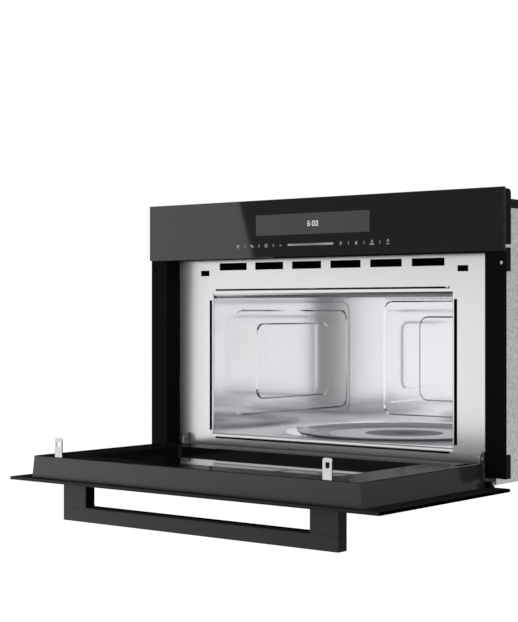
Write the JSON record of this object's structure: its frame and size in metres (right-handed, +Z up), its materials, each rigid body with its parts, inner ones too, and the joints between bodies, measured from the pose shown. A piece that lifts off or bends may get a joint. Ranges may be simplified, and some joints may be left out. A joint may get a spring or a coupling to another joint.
{
  "type": "built-in microwave oven",
  "caption": "Built-in microwave oven with a drop-down black glass door and bar handle, touch control panel, steel cavity with glass turntable, and galvanised case.",
  "frame": {"origin": "on the niche floor under the base plate, in the plane of the cabinet front, midway across", "axes": "+X to the right of a person facing the front, +Y into the cabinet, +Z up"},
  "size_m": [0.595, 0.7459, 0.4299],
  "materials": {
    "black_glass": "back-printed black, polished",
    "black_plastic": "moulded, fine satin",
    "display": "smoked display filter",
    "circuit_board": "solder mask with mounted components",
    "stainless": "smooth satin stainless sheet",
    "galvanised": "hot-dip zinc with spangle",
    "black_steel": "black powder coat",
    "black_metal": "black anodised look, satin",
    "bright_steel": "bright zinc plated steel",
    "clear_glass": "clear toughened glass",
    "white_plastic": "moulded natural nylon",
    "grey_plastic": "moulded grey",
    "rubber": "matt black",
    "mica": "pressed mica sheet",
    "motor_steel": "zinc plated housings"
  },
  "bodies": {
    "housing": {"control_panel_glass": "black_glass", "control_panel_carrier": "black_plastic", "left_side_trim": "black_plastic", "right_side_trim": "black_plastic", "display_module": "display", "touch_sensor_board": "circuit_board", "inverter_board": "circuit_board", "noise_filter_board": "circuit_board", "front_frame": "stainless", "cavity_left_wall": "stainless", "cavity_right_wall": "stainless", "cavity_ceiling": "stainless", "cavity_rear_wall": "stainless", "cavity_floor": "stainless", "left_case_side": "galvanised", "right_case_side": "galvanised", "base_plate": "galvanised", "rear_panel": "galvanised", "component_tray": "galvanised", "air_duct": "galvanised", "waveguide": "galvanised", "top_cover": "black_steel", "left_hinge_arm": "bright_steel", "right_hinge_arm": "bright_steel", "case_screws": "bright_steel", "lamp_bulb": "clear_glass", "left_interlock_bracket": "white_plastic", "right_interlock_bracket": "white_plastic", "fan_shroud": "grey_plastic", "interlock_switches": "grey_plastic", "lamp_holder": "grey_plastic", "thermal_cutout": "grey_plastic", "cord_gland": "rubber", "waveguide_cover": "mica", "fan_motor": "motor_steel", "turntable_motor": "motor_steel", "magnetron": "motor_steel"},
    "door": {"door_outer_glass": "black_glass", "door_inner_frame": "black_plastic", "door_inner_pane": "clear_glass", "door_screen": "black_steel", "handle_bar": "black_metal", "handle_screws": "bright_steel", "left_handle_post": "black_metal", "right_handle_post": "black_metal", "left_latch_tongue": "bright_steel", "right_latch_tongue": "bright_steel", "left_hinge_block": "black_plastic", "right_hinge_block": "black_plastic", "left_hinge_pin": "bright_steel", "right_hinge_pin": "bright_steel"},
    "turntable": {"turntable_coupler": "white_plastic", "glass_turntable": "clear_glass"},
    "roller_carrier": {"roller_ring": "white_plastic"},
    "roller_1_body": {"roller_1": "white_plastic"},
    "roller_2_body": {"roller_2": "white_plastic"},
    "roller_3_body": {"roller_3": "white_plastic"},
    "fan": {"fan_impeller": "grey_plastic"},
    "left_plunger": {"left_switch_plunger": "white_plastic"},
    "right_plunger": {"right_switch_plunger": "white_plastic"}
  },
  "joints": [
    {"name": "door_hinge", "type": "hinge", "parent": "housing", "child": "door", "pos_m": [0, -0.0114, 0.0015], "axis": [-1, 0, 0], "range_deg": [0, 90]},
    {"name": "turntable_spin", "type": "hinge", "parent": "housing", "child": "turntable", "pos_m": [0, 0.2091, 0.026], "axis": [0, 0, 1], "continuous": true},
    {"name": "roller_ring_spin", "type": "hinge", "parent": "housing", "child": "roller_carrier", "pos_m": [0, 0.2091, 0.026], "axis": [0, 0, 1], "continuous": true},
    {"name": "fan_spin", "type": "hinge", "parent": "housing", "child": "fan", "pos_m": [-0.12, 0.41, 0.2983], "axis": [0, 1, 0], "continuous": true},
    {"name": "roller_1_spin", "type": "hinge", "parent": "roller_carrier", "child": "roller_1_body", "pos_m": [0.1258, 0.2091, 0.0277], "axis": [1, 0, 0], "continuous": true},
    {"name": "roller_2_spin", "type": "hinge", "parent": "roller_carrier", "child": "roller_2_body", "pos_m": [-0.0629, 0.31805, 0.0277], "axis": [-0.5, 0.866, 0], "continuous": true},
    {"name": "roller_3_spin", "type": "hinge", "parent": "roller_carrier", "child": "roller_3_body", "pos_m": [-0.0629, 0.10015, 0.0277], "axis": [-0.5, -0.866, 0], "continuous": true},
    {"name": "left_plunger_slide", "type": "slide", "parent": "housing", "child": "left_plunger", "axis": [0, 1, 0], "range_m": [0, 0.0022]},
    {"name": "right_plunger_slide", "type": "slide", "parent": "housing", "child": "right_plunger", "axis": [0, 1, 0], "range_m": [0, 0.0022]}
  ],
  "couplings": [
    {"joint": "roller_ring_spin", "follows": "turntable_spin", "ratio": 0.5},
    {"joint": "roller_1_spin", "follows": "turntable_spin", "ratio": -8.9857},
    {"joint": "roller_2_spin", "follows": "turntable_spin", "ratio": -8.9857},
    {"joint": "roller_3_spin", "follows": "turntable_spin", "ratio": -8.9857},
    {"joint": "left_plunger_slide", "follows": "door_hinge", "m_per_rad": 0.0014006},
    {"joint": "right_plunger_slide", "follows": "door_hinge", "m_per_rad": 0.0014006}
  ]
}
